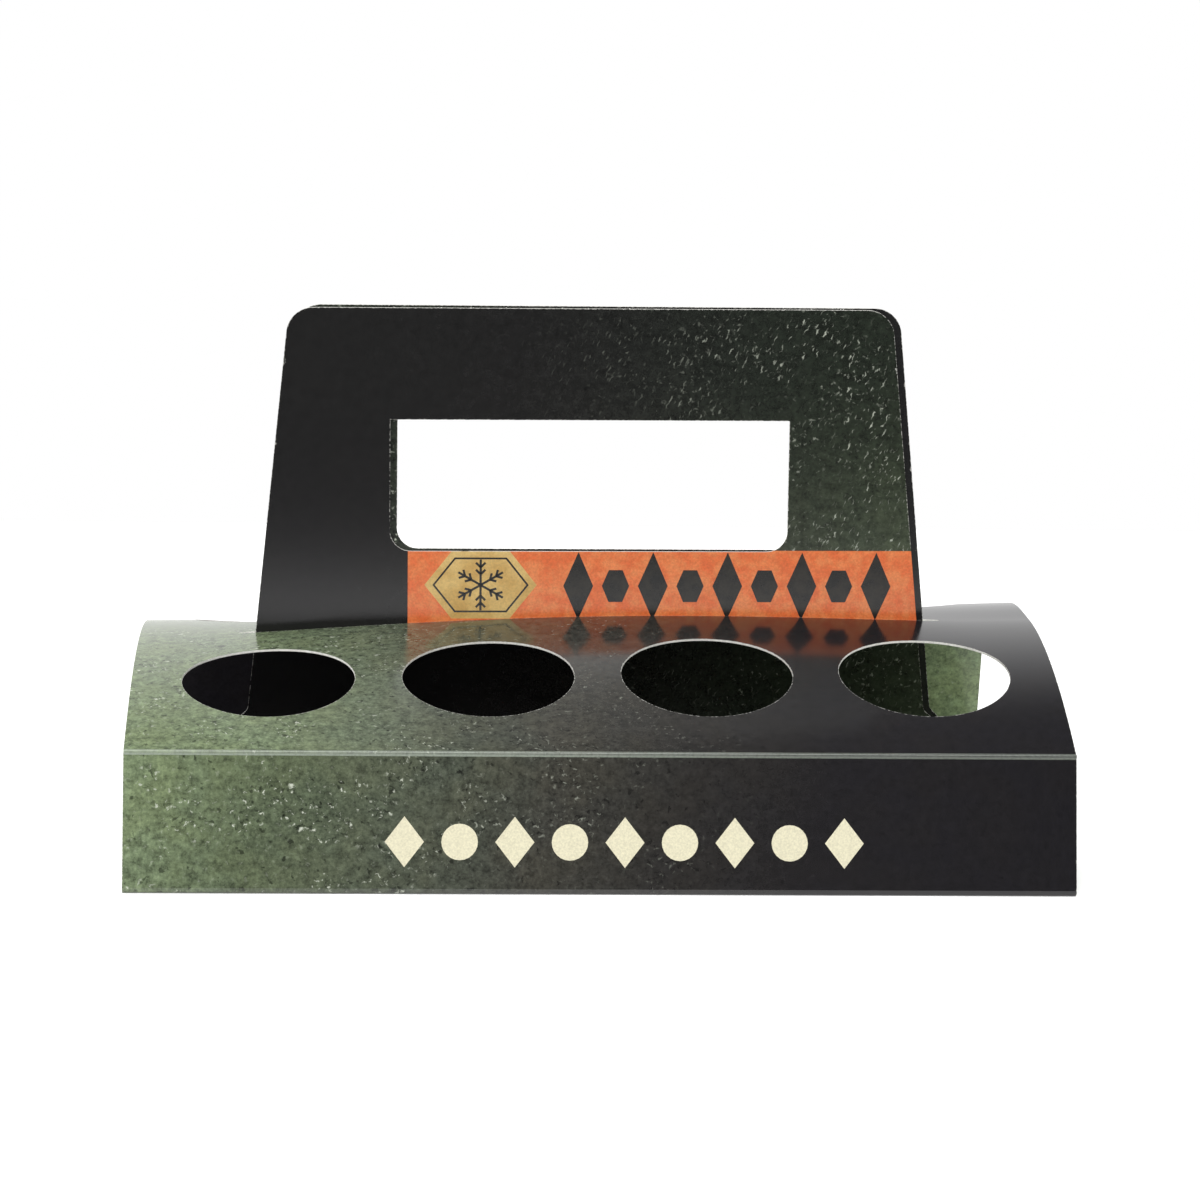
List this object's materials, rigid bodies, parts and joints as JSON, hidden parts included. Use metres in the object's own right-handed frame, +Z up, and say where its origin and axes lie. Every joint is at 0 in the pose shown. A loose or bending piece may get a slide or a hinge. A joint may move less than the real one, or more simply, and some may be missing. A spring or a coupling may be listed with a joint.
{
  "type": "cardboard cup carrier",
  "caption": "Folded board carrier with an arched top, round holes that hold small cups or bottles in two rows, and a flat carrying handle with a hand hole.",
  "frame": {"origin": "middle of the base, on the surface the carrier stands on", "axes": "+X along the carrier to the right, +Y from the front wall to the rear wall, +Z up through the handle"},
  "size_m": [0.215, 0.1578, 0.1242],
  "materials": {
    "printed_board": "glossy varnish over dark print"
  },
  "bodies": {
    "root": {"carrier_sheet": "printed_board"}
  },
  "joints": []
}
